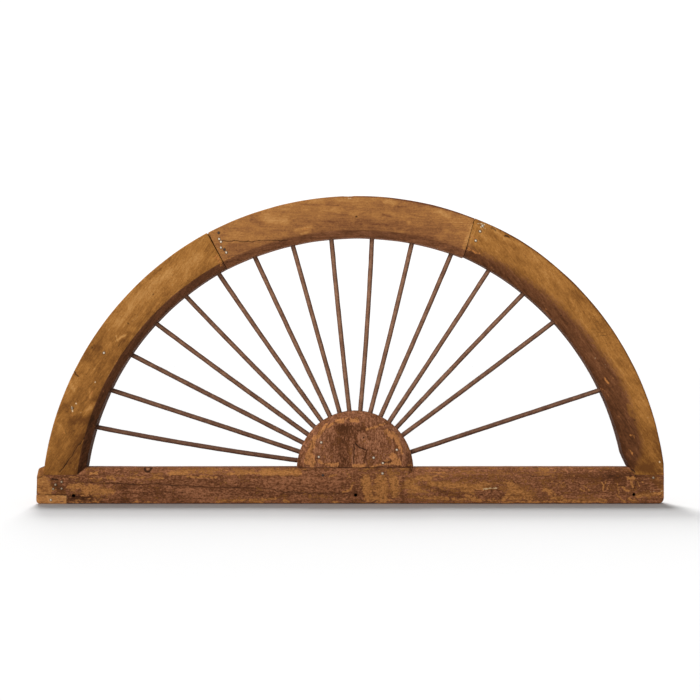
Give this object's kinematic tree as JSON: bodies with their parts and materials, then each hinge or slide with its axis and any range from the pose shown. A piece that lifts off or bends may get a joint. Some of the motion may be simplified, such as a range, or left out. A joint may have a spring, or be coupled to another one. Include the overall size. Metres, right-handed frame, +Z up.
{
  "type": "fanlight window",
  "caption": "Half-round timber fanlight frame with iron rods fanning out from a half-round hub on the sill to the arch; worn paint, two rods missing, a let-in repair.",
  "frame": {"origin": "under the middle of the sill, midway through the frame's depth, on the surface it stands on", "axes": "+X along the sill to the right as seen from the front, +Y to the back, +Z up; the moulded front faces -Y"},
  "size_m": [1.221, 0.0606, 0.5991],
  "materials": {
    "golden_wood": "worn golden-brown hardwood, traces of dark stain",
    "painted_wood": "worn red-brown paint over golden-brown hardwood",
    "patch_wood": "bare yellow-brown hardwood",
    "rusty_iron": "dark brown rust",
    "nail_steel": "worn, partly rusty nail heads"
  },
  "bodies": {
    "root": {"sill": "painted_wood", "sill_patch": "patch_wood", "arch_left": "golden_wood", "arch_crown": "golden_wood", "arch_right": "golden_wood", "hub": "painted_wood", "rod_01": "rusty_iron", "rod_02": "rusty_iron", "rod_03": "rusty_iron", "rod_04": "rusty_iron", "rod_05": "rusty_iron", "rod_06": "rusty_iron", "rod_07": "rusty_iron", "rod_08": "rusty_iron", "rod_09": "rusty_iron", "rod_10": "rusty_iron", "rod_11": "rusty_iron", "rod_12": "rusty_iron", "rod_13": "rusty_iron", "rod_14": "rusty_iron", "rod_15": "rusty_iron", "rod_17": "rusty_iron", "nail_left_joint_1": "nail_steel", "nail_left_joint_2": "nail_steel", "nail_left_joint_3": "nail_steel", "nail_left_joint_4": "nail_steel", "nail_left_joint_5": "nail_steel", "nail_left_joint_6": "nail_steel", "nail_right_joint_1": "nail_steel", "nail_right_joint_2": "nail_steel", "nail_right_joint_3": "nail_steel", "nail_left_felloe_1": "nail_steel", "nail_left_felloe_2": "nail_steel", "nail_left_foot_1": "nail_steel", "nail_left_foot_2": "nail_steel", "nail_left_foot_3": "nail_steel", "nail_left_foot_4": "nail_steel", "nail_patch_1": "nail_steel", "nail_right_foot_1": "nail_steel", "nail_hub_1": "nail_steel", "nail_hub_2": "nail_steel", "nail_hub_3": "nail_steel", "nail_hub_4": "nail_steel", "nail_hub_5": "nail_steel", "nail_sill_1": "nail_steel", "nail_sill_2": "nail_steel"}
  },
  "joints": []
}
